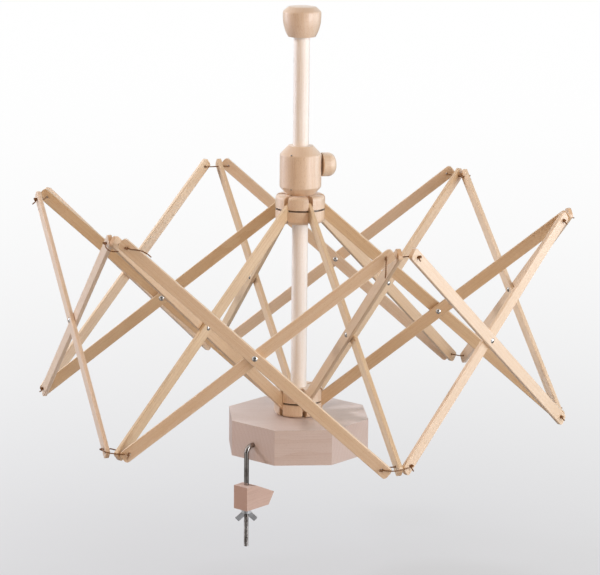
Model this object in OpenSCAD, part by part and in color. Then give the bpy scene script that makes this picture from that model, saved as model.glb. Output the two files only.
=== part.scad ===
// Umbrella swift: six pairs of crossed ribs open like an umbrella between two slotted hubs
// on a post, and twelve outer slats join the rib tips into a cage that holds a skein.
// Millimetres, +Z up, origin at the centre of the base's underside.

/* [Base] */
// Width of the octagonal base across its flats
base_w = 172; // [150:1:220]
// Thickness of the base
base_h = 45; // [38:1:60]
// Height of the clamp holes above the underside
clamp_hole_h = 20; // [12:1:30]
// Depth of a clamp hole
clamp_hole_depth = 42; // [30:1:55]

/* [Post and knob] */
// Diameter of the post
post_d = 20; // [16:0.5:24]
// Length of post between the base and the knob
post_free = 479; // [470:1:520]
// Depth of the post's seat in the base
post_seat = 34; // [20:1:36]
// Diameter of the tenon that the knob is glued on
tenon_d = 13; // [8:0.5:15]
// Length of the tenon
tenon_h = 22; // [12:1:30]
// Largest diameter of the top knob
knob_d = 47.4; // [40:0.2:56]
// Height of the top knob
knob_h = 38; // [34:0.5:50]

/* [Hubs] */
// Diameter of a hub
hub_d = 62; // [58:0.5:70]
// Height of a hub
hub_h = 35; // [26:0.5:44]
// Radius of the turned edges of a hub
hub_edge = 5; // [1:0.5:8]
// Radius of the wire ring that the ribs hinge on
ring_r = 27; // [26:0.1:28]
// Diameter of the ring's wire
wire_d = 1.8; // [1.2:0.1:2.4]
// Width of the groove that the ring lies in
groove_w = 2.4; // [2.2:0.1:4]
// Gap between the lower hub and the base
hub_lift = 0.4; // [0.2:0.1:2]

/* [Slats] */
// Width of a slat
slat_w = 15; // [12:0.5:17]
// Thickness of a slat
slat_t = 5; // [3.5:0.1:6]
// Distance between a slat's two end holes
slat_pitch = 388; // [340:1:400]
// Wood beyond each end hole
slat_over = 10; // [8.5:0.1:10.5]
// Radius of a slat's corners
slat_corner = 4.5; // [2:0.5:6]
// Chamfer along a slat's edges
slat_ease = 0.7; // [0.2:0.1:1.2]
// Diameter of the end holes
end_hole_d = 3.4; // [3.2:0.1:4.4]
// Gap between two slats that are riveted together
slat_gap = 0.3; // [0.2:0.05:0.8]
// Slope of the slats as the swift stands
rest_angle = 39.5; // [20:0.1:66]
// Turn of the swift against the base
swift_turn = -14.2; // [-30:0.1:30]
// How far the outer slats lie outside the rib tips
outer_offset = 11.2; // [10.8:0.1:14]

/* [Rivets and ties] */
// Diameter of a rivet's shank
rivet_d = 3; // [2:0.1:4]
// Diameter of a rivet's head
rivet_head_d = 6.6; // [5:0.1:8]
// Height of a rivet's head
rivet_head_h = 1.5; // [0.8:0.1:2.2]
// Diameter of the waxed cord that ties the tips
tie_d = 1.8; // [1.2:0.1:2.4]
// Length of the longer tail of a knot
tail_long = 12; // [6:0.5:16]
// Length of the shorter tail of a knot
tail_short = 7; // [4:0.5:10]

/* [Locking collar] */
// Diameter of the locking collar
collar_d = 52; // [46:0.5:58]
// Height of the locking collar
collar_h = 61; // [54:0.5:66]
// Radius of the collar's top face
collar_top_r = 15.6; // [13:0.1:20]
// Radius of the collar's bottom face
collar_foot_r = 18; // [14:0.1:21]
// Gap between the collar and the upper hub
collar_lift = 0.3; // [0.2:0.1:2]
// Height of the thumb screw above the collar's foot
thumb_h = 36; // [28:0.5:40]
// Diameter of the thumb screw's knob
thumb_d = 30; // [22:0.5:34]
// Length of the thumb screw's knob
thumb_l = 18.5; // [12:0.5:24]
// Diameter of the thumb screw's shank
thumb_shank_d = 8; // [5:0.5:10]
// Direction of the thumb screw against the base
thumb_turn = 10; // [-180:1:180]

/* [Table clamp] */
// Diameter of the clamp rod
rod_d = 6; // [5:0.1:7]
// Distance of the rod's hanging leg from the base's side
rod_stand = 12; // [11:0.5:20]
// Radius of the rod's bend, at the middle of the rod
rod_bend = 9; // [7:0.5:10.5]
// Length of rod inside the base
rod_inside = 38; // [20:1:40]
// How far the rod reaches below the base
rod_drop = 109; // [100:1:130]
// Distance from the base's underside to the clamp block
jaw_gap = 29; // [20:1:34]
// Height of the clamp block
block_h = 30; // [22:0.5:34]
// Thickness of the clamp block
block_t = 22; // [16:0.5:30]
// Wood behind the rod in the clamp block
block_back = 11; // [8:0.5:14]
// Reach of the clamp block's nose from the rod
block_reach = 40; // [30:0.5:50]
// Height of the nose above the block's underside
block_nose_h = 15; // [6:0.5:20]
// Turn of the clamp block about the rod
block_turn = 0; // [-20:1:20]
// Diameter of the wing nut's barrel
nut_d = 12; // [10:0.5:15]
// Height of the wing nut's barrel
nut_h = 6; // [4:0.5:12]
// Span of the wings
wing_span = 28; // [22:1:40]
// Width of a wing
wing_w = 6.5; // [4:0.5:9]
// Slope of the wings below level
wing_slope = 42; // [0:1:60]

/* [Hidden] */
$fn = 64;
SPOKES = 6;
STEP = 360 / SPOKES;

// Running clearances, as radii
pin_clear = 0.05;
bore_clear = 0.1;
seat_clear = 0.05;

// Heights of the two rings of pivots, and the reach of the rib tips
z_low = base_h + hub_lift + hub_h / 2;
rise = slat_pitch * sin(rest_angle);
reach = slat_pitch * cos(rest_angle);
z_up = z_low + rise;
z_mid = z_low + rise / 2;
tip_r = ring_r + reach;

// Ribs of a crossed pair lie side by side, each this far from the spoke's plane
side = (slat_t + slat_gap) / 2;
// Outer slats cross on a plane this far from the post
cage_r = tip_r * cos(STEP / 2) + outer_offset;

// Inner wall of a hub's slots, clear of a rib's swinging end
end_sweep = norm([slat_over - slat_corner, slat_w / 2 - slat_corner]) + slat_corner;
slot_floor_r = ring_r - end_sweep - 0.4;
slot_w = slat_t + 0.8;

z_collar = z_up + hub_h / 2 + collar_lift;
z_knob = base_h + post_free;
rod_x = base_w / 2 + rod_stand;
nut_z = -jaw_gap - block_h;

SPOKE_NAMES = [for (i = [1:SPOKES]) str(i)];

BEECH = "#d8bda0";
PALE_BEECH = "#ecd9bd";
STEEL = "#8c8c90";
WAXED_CORD = "#8a6238";

// Points of an arc about a centre, from one angle to another
function arc(centre, r, from, to, steps = 6) =
    [for (k = [0:steps]) centre + r * [cos(from + (to - from) * k / steps),
                                       sin(from + (to - from) * k / steps)]];

// Angle of a direction in the plane
function heading(v) = atan2(v[1], v[0]);

// An angle brought into -180 to 180
function wrapped(a) = a - 360 * round(a / 360);

// Puts children in the frame of a spoke: x outwards, y counterclockwise
module on_spoke(i) { rotate([0, 0, swift_turn + STEP * i]) children(); }

// Puts children in the frame between a spoke and the next one
module between_spokes(i) { on_spoke(i + 0.5) children(); }

// Turns children over about the spoke, from the upper half to the lower half
module flipped() { translate([0, 0, z_mid]) rotate([180, 0, 0]) translate([0, 0, -z_mid]) children(); }

// A flat slat along x with a hole in the middle and one at each end
module slat() {
    l = slat_pitch + 2 * slat_over;
    corner = min(slat_corner, slat_w / 2 - 0.01, slat_over);
    ease = slat_ease;
    difference() {
        intersection() {
            linear_extrude(height = slat_t, center = true) polygon([
                for (q = [[1, 1, 0], [-1, 1, 90], [-1, -1, 180], [1, -1, 270]])
                    each arc([q[0] * (l / 2 - corner), q[1] * (slat_w / 2 - corner)],
                             corner, q[2], q[2] + 90)]);
            rotate([90, 0, 90]) linear_extrude(height = l + 2, center = true) polygon([
                for (q = [[1, 1], [-1, 1], [-1, -1], [1, -1]])
                    for (k = q[0] * q[1] > 0 ? [0, 1] : [1, 0])
                        [q[0] * (slat_w / 2 - ease * k), q[1] * (slat_t / 2 - ease * (1 - k))]]);
        }
        for (x = [-slat_pitch / 2, slat_pitch / 2])
            translate([x, 0, 0]) cylinder(h = slat_t + 2, d = end_hole_d, center = true);
        cylinder(h = slat_t + 2, d = rivet_d + 2 * pin_clear, center = true);
    }
}

// The rib that rises from the lower hub to the tip above
module rising_rib(i) {
    color(PALE_BEECH) on_spoke(i)
        translate([ring_r + reach / 2, -side, z_mid]) rotate([0, -rest_angle, 0]) rotate([90, 0, 0]) slat();
}

// The rib that falls from the upper hub to the tip below
module falling_rib(i) {
    color(PALE_BEECH) on_spoke(i)
        translate([ring_r + reach / 2, side, z_mid]) rotate([0, rest_angle, 0]) rotate([90, 0, 0]) slat();
}

// The outer slat of a crossed pair, from the top tip of its spoke down to the next spoke
module outer_slat(i) {
    color(PALE_BEECH) between_spokes(i)
        translate([cage_r + side, 0, z_mid]) rotate([-rest_angle, 0, 0]) rotate([90, 0, 90]) slat();
}

// The inner slat of the pair, from the top tip of the next spoke down to this one
module inner_slat(i) {
    color(PALE_BEECH) between_spokes(i)
        translate([cage_r - side, 0, z_mid]) rotate([rest_angle, 0, 0]) rotate([90, 0, 90]) slat();
}

// A domed rivet along z through two slats, its heads against their outer faces
module rivet() {
    grip = 2 * slat_t + slat_gap + seat_clear;
    ball = (pow(rivet_head_d / 2, 2) + pow(rivet_head_h, 2)) / (2 * rivet_head_h);
    translate([0, 0, -slat_t - slat_gap / 2]) {
        cylinder(h = grip, d = rivet_d);
        for (end = [0, 1]) translate([0, 0, end * grip]) mirror([0, 0, 1 - end]) intersection() {
            translate([0, 0, rivet_head_h - ball]) sphere(r = ball);
            cylinder(h = rivet_head_h + 1, d = rivet_head_d + 1);
        }
    }
}

module rib_rivet(i) {
    color(STEEL) on_spoke(i) translate([ring_r + reach / 2, 0, z_mid]) rotate([-90, 0, 0]) rivet();
}

module slat_rivet(i) {
    color(STEEL) between_spokes(i) translate([cage_r, 0, z_mid]) rotate([0, -90, 0]) rivet();
}

// Points of a corner rounded to a radius, with a step for every 30 degrees or so
function rounded(before, here, after, r) =
    let (into = heading(here - before), turn = wrapped(heading(after - here) - into),
         cut = r * tan(abs(turn) / 2), side = turn > 0 ? 90 : -90,
         start = here - cut * [cos(into), sin(into)],
         centre = start + r * [cos(into + side), sin(into + side)])
    arc(centre, r, into - side, into - side + turn, ceil(abs(turn) / 30));

// A cord along a flat line of corners
module cord_line(points, radii, d, sides = 10) {
    n = len(points);
    path = concat([points[0]],
        [for (k = [1:n - 2]) each rounded(points[k - 1], points[k], points[k + 1], radii[k - 1])],
        [points[n - 1]]);
    m = len(path);
    polyhedron(
        [for (k = [0:m - 1])
            let (into = heading(path[max(k, 1)] - path[max(k, 1) - 1]),
                 out = heading(path[min(k, m - 2) + 1] - path[min(k, m - 2)]),
                 half = wrapped(out - into) / 2, across = into + half + 90)
            for (j = [0:sides - 1]) let (t = 360 * j / sides, x = d / 2 * cos(t) / cos(half))
                [path[k][0] + x * cos(across), path[k][1] + x * sin(across), d / 2 * sin(t)]],
        concat([[for (j = [0:sides - 1]) j], [for (j = [sides - 1:-1:0]) (m - 1) * sides + j]],
            [for (k = [0:m - 2]) for (j = [0:sides - 1]) let (j2 = (j + 1) % sides)
                [k * sides + j, (k + 1) * sides + j, (k + 1) * sides + j2, k * sides + j2]]));
}

// Corners of a top tip's tie, seen from above: from a knot on the inner slat in through its
// hole, through the rib's hole and out through the outer slat to the other knot
pivot_shift = ring_r / 2;
tie_bend = 3.2;
knot_d = 2.1 * tie_d;
function on_hole_line(s, k) = [k * cos(STEP / 2) - pivot_shift * sin(STEP / 2),
                               s * (k * sin(STEP / 2) + pivot_shift * cos(STEP / 2))];
k_rib = pivot_shift * tan(STEP / 2);
k_knot = outer_offset + slat_t / 2 + knot_d / 2 + 0.1;
k_inner = outer_offset - side - slat_t / 2 - 0.2 - 1.6 * tan(47);
TIE_CORNERS = [on_hole_line(-1, k_knot - side), on_hole_line(-1, k_inner),
               [0, -side - slat_t / 2 - 1.8], [0, on_hole_line(1, k_rib)[1]],
               on_hole_line(1, k_knot + side)];
TIE_RADII = [1.6, 2, tie_bend];

// Each tail's knot, its length, its roll about the spoke and its slope from straight up
TAILS = [[4, tail_long, -50, 55], [0, tail_short, -44, 130]];

// The cord at a tip, with a knot and a tail on each slat
module tie() {
    cord_line(TIE_CORNERS, TIE_RADII, tie_d);
    for (t = TAILS) translate(concat(TIE_CORNERS[t[0]], [0])) {
        sphere(d = knot_d);
        rotate([t[2], 0, 0]) rotate([0, t[3], 0]) translate([0, 0, 0.5 * tie_d]) {
            cylinder(h = t[1], d = 0.8 * tie_d);
            translate([0, 0, t[1]]) sphere(d = 0.8 * tie_d);
        }
    }
}

module top_tie(i) {
    color(WAXED_CORD) on_spoke(i) translate([tip_r, 0, z_up]) tie();
}

module bottom_tie(i) {
    color(WAXED_CORD) on_spoke(i) flipped() translate([tip_r, 0, z_up]) tie();
}

// A turned hub with a slot for each rib and a groove for its ring, centred on the ring
module hub() {
    r = hub_d / 2;
    h = hub_h / 2;
    e = hub_edge;
    bore = post_d / 2 + bore_clear;
    groove_r = ring_r - wire_d / 2 - 0.1;
    difference() {
        rotate_extrude() polygon(concat(
            [[bore, -h]],
            arc([r - e, e - h], e, -90, 0),
            [[r, -groove_w / 2], [groove_r, -groove_w / 2], [groove_r, groove_w / 2], [r, groove_w / 2]],
            arc([r - e, h - e], e, 0, 90),
            [[bore, h]]));
        for (i = [0:SPOKES - 1]) rotate([0, 0, STEP * i])
            translate([slot_floor_r, -side - slot_w / 2, -h - 1]) cube([r, slot_w, hub_h + 2]);
    }
}

// The wire ring that the ribs hinge on
module ring() { rotate_extrude() translate([ring_r, 0]) circle(d = wire_d); }

module lower_hub() { color(BEECH) on_spoke(0) translate([0, 0, z_low]) hub(); }

module upper_hub() { color(BEECH) on_spoke(0) flipped() translate([0, 0, z_low]) hub(); }

module lower_hub_wire() { color(STEEL) translate([0, 0, z_low]) ring(); }

module upper_hub_wire() { color(STEEL) translate([0, 0, z_up]) ring(); }

// The octagonal base, with the post's seat and two clamp holes in neighbouring sides
module base() {
    color(BEECH) difference() {
        rotate([0, 0, 22.5]) cylinder(h = base_h, r = base_w / 2 / cos(22.5), $fn = 8);
        translate([0, 0, base_h - post_seat]) cylinder(h = post_seat + 1, d = post_d + 2 * seat_clear);
        for (a = [225, 315]) rotate([0, 0, a])
            translate([base_w / 2 - clamp_hole_depth, 0, clamp_hole_h]) rotate([0, 90, 0])
                cylinder(h = clamp_hole_depth + 1, d = rod_d + 2 * bore_clear);
    }
}

module centre_post() {
    color(PALE_BEECH) {
        translate([0, 0, base_h - post_seat]) cylinder(h = post_seat + post_free, d = post_d);
        translate([0, 0, z_knob - 1]) cylinder(h = tenon_h + 1, d = tenon_d);
    }
}

// The turned knob: a flattened dome that narrows towards the post
module top_knob() {
    r = knob_d / 2;
    shoulder = 0.18 * knob_h;
    crown_r = 0.72 * r;
    foot_r = 0.72 * r;
    belly = 0.36 * knob_h;
    // Crown, shoulder, belly and foot, with the belly drawn in to the foot by a curve
    side_points = [for (k = [0:8]) let (u = k / 8)
        [foot_r + (r - foot_r) * sin(90 * pow(u, 0.82)), (knob_h - belly) * pow(u, 0.95)]];
    color(BEECH) translate([0, 0, z_knob]) difference() {
        rotate_extrude() polygon(concat(
            [[0, 0]],
            side_points,
            [[r, knob_h - shoulder - 1], [r - 0.7, knob_h - shoulder + 0.5],
             [crown_r + 1.2, knob_h - 2.2], [crown_r - 0.5, knob_h - 1.1],
             [crown_r * 0.6, knob_h - 0.3], [0, knob_h]]));
        translate([0, 0, -1]) cylinder(h = tenon_h + 1.5, d = tenon_d + 2 * seat_clear);
    }
}

// The sliding collar, with a cross hole for its thumb screw
module locking_collar() {
    r = collar_d / 2;
    foot = r - collar_foot_r;
    head = r - collar_top_r;
    color(BEECH) rotate([0, 0, thumb_turn]) translate([0, 0, z_collar]) difference() {
        rotate_extrude() polygon([
            [post_d / 2 + bore_clear, 0], [collar_foot_r, 0], [r - 0.6, foot + 0.6], [r, foot + 1.8],
            [r, collar_h - head - 1.2], [r - 0.6, collar_h - head], [collar_top_r, collar_h],
            [post_d / 2 + bore_clear, collar_h]]);
        translate([0, 0, thumb_h]) rotate([0, 90, 0])
            cylinder(h = r + 1, d = thumb_shank_d + 2 * pin_clear);
    }
}

// The wooden thumb screw that locks the collar: a domed knob on a screwed shank
module thumb_screw() {
    r = thumb_d / 2;
    start = collar_d / 2 + 0.5;
    tip = post_d / 2 + bore_clear + 0.1;
    dome = 0.55 * thumb_l;
    crown = 0.3 * r;
    color(BEECH) rotate([0, 0, thumb_turn]) translate([0, 0, z_collar + thumb_h]) rotate([0, 90, 0])
        rotate_extrude() polygon(concat(
            [[0, tip], [thumb_shank_d / 2 - 0.6, tip], [thumb_shank_d / 2, tip + 0.6],
             [thumb_shank_d / 2, start], [r - 1.1, start], [r - 0.3, start + 0.4], [r, start + 1.4]],
            [for (k = [0:9]) [crown + (r - crown) * cos(90 * k / 9),
                              start + thumb_l - dome + dome * sin(90 * k / 9) * 0.97]],
            [[0, start + thumb_l]]));
}

// The bent rod: in the base's side, round the bend and down past the table edge
module clamp_rod() {
    leg = clamp_hole_h + rod_drop - rod_bend;
    level = rod_inside + rod_stand - rod_bend;
    color(STEEL) rotate([0, 0, 225]) {
        translate([base_w / 2 - rod_inside, 0, clamp_hole_h]) rotate([0, 90, 0])
            cylinder(h = level, d = rod_d);
        translate([rod_x - rod_bend, 0, clamp_hole_h - rod_bend]) rotate([90, 0, 0])
            rotate_extrude(angle = 90) translate([rod_bend, 0]) circle(d = rod_d);
        translate([rod_x, 0, -rod_drop]) cylinder(h = leg, d = rod_d);
    }
}

// Puts children at the rod's hanging leg, with x towards the base's middle
module at_rod() { rotate([0, 0, 225]) translate([rod_x, 0, 0]) rotate([0, 0, 180]) children(); }

// The five-sided clamp block, its nose under the table
module clamp_block() {
    color(BEECH) at_rod() rotate([0, 0, block_turn]) translate([0, 0, -jaw_gap - block_h]) difference() {
        translate([0, block_t / 2, 0]) rotate([90, 0, 0]) linear_extrude(height = block_t) polygon([
            [-block_back, 0], [block_reach - 10, 0], [block_reach, block_nose_h],
            [rod_d, block_h], [-block_back, block_h]]);
        translate([0, 0, -1]) cylinder(h = block_h + 2, d = rod_d + 2 * bore_clear);
    }
}

// The wing nut under the block, its wings turned down
module wing_nut() {
    wing_t = 2.4;
    wing_l = wing_span / 2 / cos(wing_slope);
    color(STEEL) at_rod() rotate([0, 0, -45]) translate([0, 0, nut_z - seat_clear]) difference() {
        union() {
            translate([0, 0, -nut_h]) cylinder(h = nut_h, d = nut_d);
            for (s = [0, 180]) rotate([0, 0, s]) rotate([0, wing_slope, 0]) translate([0, 0, -nut_h / 2])
                rotate([90, 0, 0]) linear_extrude(height = wing_t, center = true) {
                    translate([2, -wing_w / 2]) square([wing_l - 3, wing_w]);
                    translate([wing_l - 2, 1 - wing_w / 2]) square([2, wing_w - 2]);
                    for (y = [1 - wing_w / 2, wing_w / 2 - 1]) translate([wing_l - 1, y]) circle(r = 1);
                }
        }
        translate([0, 0, -nut_h - 20]) cylinder(h = nut_h + 21, d = rod_d + 2 * pin_clear);
    }
}

base();
centre_post();
top_knob();
clamp_rod();
clamp_block();
wing_nut();
lower_hub();
lower_hub_wire();
upper_hub();
upper_hub_wire();
locking_collar();
thumb_screw();
for (i = [0:SPOKES - 1]) {
    rising_rib(i);
    falling_rib(i);
    rib_rivet(i);
    outer_slat(i);
    inner_slat(i);
    slat_rivet(i);
    top_tie(i);
    bottom_tie(i);
}
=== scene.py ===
"""Umbrella swift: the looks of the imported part, in metres, +Z up, origin under the base.

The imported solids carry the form. This script gives the timber its grain, the steel its plating
and the rod its thread, and ties the tips with real twisted cord in place of the plain loops.
"""

from __future__ import annotations

import logging
import math
import random
from dataclasses import dataclass, field
from enum import Enum
from typing import Any

import bpy
import numpy as np
from mathutils import Matrix, Vector

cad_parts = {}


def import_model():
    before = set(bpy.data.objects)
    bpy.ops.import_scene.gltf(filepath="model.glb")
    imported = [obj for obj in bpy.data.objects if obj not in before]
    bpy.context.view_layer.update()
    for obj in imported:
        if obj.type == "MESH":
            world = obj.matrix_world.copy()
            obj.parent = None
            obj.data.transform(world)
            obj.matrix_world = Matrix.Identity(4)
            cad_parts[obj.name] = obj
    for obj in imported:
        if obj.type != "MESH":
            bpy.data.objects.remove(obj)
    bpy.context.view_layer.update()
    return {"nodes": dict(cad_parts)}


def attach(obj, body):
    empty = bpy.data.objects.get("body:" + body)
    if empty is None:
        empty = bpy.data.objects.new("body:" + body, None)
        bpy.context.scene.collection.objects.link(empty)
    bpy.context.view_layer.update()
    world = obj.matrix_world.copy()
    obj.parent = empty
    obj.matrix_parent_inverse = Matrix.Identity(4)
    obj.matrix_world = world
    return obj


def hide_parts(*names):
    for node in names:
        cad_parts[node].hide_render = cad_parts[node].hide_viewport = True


log = logging.getLogger("swift")

MM = 0.001
# The attribute that holds a point's place in its own stick of wood or wire, in millimetres
LAY = "lay"
# The attribute that is 1 on a face cut across the fibres and 0 on one along them
CUT = "cut"
# The attribute that says how rosy one stick is among its neighbours, from 0 to 1
ROSE = "rose"


def linear(hex_colour: str) -> tuple[float, float, float, float]:
    """Turns an sRGB hex colour to linear light.

    Args:
        hex_colour: Six hex digits, with or without a leading #.

    Returns:
        Red, green, blue and an alpha of 1.
    """
    digits = hex_colour.lstrip("#")
    channels = (int(digits[k : k + 2], 16) / 255 for k in (0, 2, 4))
    red, green, blue = (
        c / 12.92 if c <= 0.04045 else ((c + 0.055) / 1.055) ** 2.4 for c in channels
    )
    return red, green, blue, 1.0


def add_node(
    tree: bpy.types.NodeTree, kind: str, inputs: dict[Any, Any] | None = None, **settings: Any
) -> bpy.types.Node:
    """Adds a node with its settings and links.

    Args:
        tree: The node tree that gets the node.
        kind: Blender's name of the node's type.
        inputs: A value or another node's output for each input, by name or number.
        settings: Values for the node's own properties.

    Returns:
        The new node.
    """
    node = tree.nodes.new(kind)
    for name, value in settings.items():
        setattr(node, name, value)
    for key, value in (inputs or {}).items():
        if isinstance(value, bpy.types.NodeSocket):
            tree.links.new(value, node.inputs[key])
        else:
            node.inputs[key].default_value = value
    return node


def new_material(name: str) -> tuple[bpy.types.Material, bpy.types.NodeTree]:
    """Makes an empty node material.

    Args:
        name: The material's name.

    Returns:
        The material and its node tree.
    """
    material = bpy.data.materials.new(name)
    material.use_nodes = True
    material.node_tree.nodes.clear()
    return material, material.node_tree


def mesh_piece(name: str, points: np.ndarray, faces: list[tuple[int, ...]]) -> bpy.types.Object:
    """Makes a smooth mesh object from points and faces.

    Args:
        name: The piece's name.
        points: One row of x, y, z in metres for each point.
        faces: Point numbers round each face.

    Returns:
        The object, linked into the scene.
    """
    mesh = bpy.data.meshes.new(name)
    mesh.from_pydata([tuple(p) for p in points], [], faces)
    mesh.validate()
    mesh.polygons.foreach_set("use_smooth", [True] * len(mesh.polygons))
    piece = bpy.data.objects.new(name, mesh)
    bpy.context.scene.collection.objects.link(piece)
    return piece


def write_lay(mesh: bpy.types.Mesh, places: np.ndarray) -> None:
    """Writes each point's place in its own stick, in millimetres, for the materials to read.

    Args:
        mesh: The mesh that is marked.
        places: One row for each point: along the fibres, then twice across them.
    """
    layer = mesh.attributes.get(LAY) or mesh.attributes.new(LAY, "FLOAT_VECTOR", "POINT")
    layer.data.foreach_set("vector", places.astype(np.float32).ravel())


def dress(piece: bpy.types.Object, material: bpy.types.Material) -> None:
    """Gives every face of a piece one material.

    Args:
        piece: The piece.
        material: Its material.
    """
    piece.data.materials.clear()
    piece.data.materials.append(material)


# ---------------------------------------------------------------------------------------------
# Finishes


@dataclass(frozen=True)
class SandedTimber:
    """Beech, turned or planed, then sanded and waxed.

    Gives the eye a pale, even ground with soft bands along the growth rings, thin fibre lines,
    and the short dark flecks of the rays that mark beech; some sticks are rosier than others,
    ends cut across the fibres are darker and duller, and the wax shines softly at the rims.
    """

    name: str
    ground: str
    rosy: str
    band: str
    fibre: str
    fleck: str
    end: str
    # Growth rings of beech are 1.5 to 3 mm apart; drawn wider, so that they show from 3 m
    ring_mm: float = 4.2
    # Fibre lines are 0.1 mm wide; drawn 0.7 mm wide, so that they show
    fibre_mm: float = 0.7
    # Rays are 0.1 to 0.4 mm wide and 1 to 3 mm long
    fleck_mm: float = 0.45
    fleck_length_mm: float = 2.8
    fleck_share: float = 0.34
    band_share: float = 0.5
    fibre_share: float = 0.45
    roughness: float = 0.5
    wax: float = 1.0
    wax_roughness: float = 0.38
    # Fine fibre ends left by the sandpaper, which pale the rims
    fuzz: float = 0.3
    bump_mm: float = 0.006

    def build(self) -> bpy.types.Material:
        """Builds the timber's material from its sizes and colours.

        Returns:
            The material, which reads the lay, cut and rose attributes.
        """
        material, tree = new_material(self.name)
        lay = add_node(tree, "ShaderNodeAttribute", attribute_name=LAY).outputs["Vector"]
        cut = add_node(tree, "ShaderNodeAttribute", attribute_name=CUT).outputs["Fac"]
        rose = add_node(tree, "ShaderNodeAttribute", attribute_name=ROSE).outputs["Fac"]
        drift = self._noise(tree, lay, (1 / 90, 1 / 26, 1 / 26), detail=2.0)
        rings = self._rings(tree, lay, drift)
        fibres = self._noise(
            tree, lay, (1 / 55, 1 / self.fibre_mm, 1 / self.fibre_mm), detail=3.0
        )
        fine = self._noise(
            tree, lay, (1 / 9, 2.2 / self.fibre_mm, 2.2 / self.fibre_mm), detail=2.0
        )
        cloud = self._noise(tree, lay, (1 / 120, 1 / 30, 1 / 30), detail=1.0)
        colour = self._mix(tree, linear(self.ground), linear(self.rosy), rose)
        colour = self._mix(
            tree, colour, linear(self.band), self._window(tree, cloud, 0.42, 0.7, 0.35)
        )
        colour = self._mix(
            tree, colour, linear(self.band), self._share(tree, rings, self.band_share)
        )
        colour = self._mix(
            tree, colour, linear(self.fibre), self._window(tree, fibres, 0.5, 0.72, self.fibre_share)
        )
        colour = self._mix(tree, colour, linear(self.fleck), self._flecks(tree, lay, cut))
        colour = self._mix(tree, colour, linear(self.end), self._share(tree, cut, 0.75))
        roughness = add_node(
            tree,
            "ShaderNodeMapRange",
            {"Value": fibres, "To Min": self.roughness - 0.06, "To Max": self.roughness + 0.08},
        ).outputs["Result"]
        relief = add_node(
            tree,
            "ShaderNodeBump",
            {"Strength": 1.0, "Distance": self.bump_mm * MM, "Height": fine},
        ).outputs["Normal"]
        surface = add_node(
            tree,
            "ShaderNodeBsdfPrincipled",
            {
                "Base Color": colour,
                "Roughness": roughness,
                "Normal": relief,
                "IOR": 1.47,
                "Coat Weight": self.wax,
                "Coat Roughness": self.wax_roughness,
                "Coat IOR": 1.7,
                "Sheen Weight": self.fuzz,
                "Sheen Roughness": 0.4,
            },
        )
        add_node(tree, "ShaderNodeOutputMaterial", {"Surface": surface.outputs["BSDF"]})
        return material

    def _noise(
        self,
        tree: bpy.types.NodeTree,
        lay: bpy.types.NodeSocket,
        scale: tuple[float, float, float],
        detail: float,
    ) -> bpy.types.NodeSocket:
        """Adds noise stretched by a scale for each direction of the lay.

        Args:
            tree: The material's tree.
            lay: The place in the stick, in millimetres.
            scale: Features in a millimetre, along and across the fibres.
            detail: Octaves of finer noise.

        Returns:
            The noise, from 0 to 1.
        """
        place = add_node(tree, "ShaderNodeMapping", {"Vector": lay, "Scale": scale})
        return add_node(
            tree,
            "ShaderNodeTexNoise",
            {"Vector": place.outputs["Vector"], "Scale": 1.0, "Detail": detail, "Roughness": 0.55},
            normalize=True,
        ).outputs["Fac"]

    def _rings(
        self, tree: bpy.types.NodeTree, lay: bpy.types.NodeSocket, drift: bpy.types.NodeSocket
    ) -> bpy.types.NodeSocket:
        """Adds growth rings round a pith far from the stick.

        Args:
            tree: The material's tree.
            lay: The place in the stick, in millimetres.
            drift: Slow noise that makes the rings wander.

        Returns:
            A share from 0 at a ring's start to 1 at its dense late wood.
        """
        sway = add_node(
            tree,
            "ShaderNodeVectorMath",
            {0: drift, 1: (0.0, 9.0, 12.0)},
            operation="MULTIPLY",
        ).outputs["Vector"]
        place = add_node(
            tree, "ShaderNodeVectorMath", {0: lay, 1: sway}, operation="ADD"
        ).outputs["Vector"]
        # The wave texture has a period of 0.314 at a scale of 1
        wave = add_node(
            tree,
            "ShaderNodeTexWave",
            {"Vector": place, "Scale": 0.314159 / self.ring_mm, "Distortion": 0.0},
            wave_type="RINGS",
            rings_direction="X",
            wave_profile="SAW",
        ).outputs["Fac"]
        return add_node(
            tree, "ShaderNodeMath", {0: wave, 1: 2.4}, operation="POWER"
        ).outputs["Value"]

    def _flecks(
        self, tree: bpy.types.NodeTree, lay: bpy.types.NodeSocket, cut: bpy.types.NodeSocket
    ) -> bpy.types.NodeSocket:
        """Adds the short spindle-shaped flecks of the rays, on faces along the fibres.

        Args:
            tree: The material's tree.
            lay: The place in the stick, in millimetres.
            cut: 1 on faces across the fibres.

        Returns:
            The share of the fleck's colour.
        """
        scale = (1 / self.fleck_length_mm, 1 / self.fleck_mm, 1 / self.fleck_mm)
        specks = self._noise(tree, lay, scale, detail=0.0)
        share = self._window(tree, specks, 0.62, 0.74, self.fleck_share)
        along = add_node(
            tree, "ShaderNodeMath", {0: 1.0, 1: cut}, operation="SUBTRACT", use_clamp=True
        ).outputs["Value"]
        return add_node(
            tree, "ShaderNodeMath", {0: share, 1: along}, operation="MULTIPLY"
        ).outputs["Value"]

    def _window(
        self,
        tree: bpy.types.NodeTree,
        value: bpy.types.NodeSocket,
        low: float,
        high: float,
        most: float,
    ) -> bpy.types.NodeSocket:
        """Turns a value between two marks into a share that eases from 0 to its most.

        Args:
            tree: The material's tree.
            value: The value.
            low: The mark for a share of 0.
            high: The mark for the most.
            most: The largest share.

        Returns:
            The share.
        """
        return add_node(
            tree,
            "ShaderNodeMapRange",
            {"Value": value, "From Min": low, "From Max": high, "To Max": most},
            interpolation_type="SMOOTHSTEP",
        ).outputs["Result"]

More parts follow.
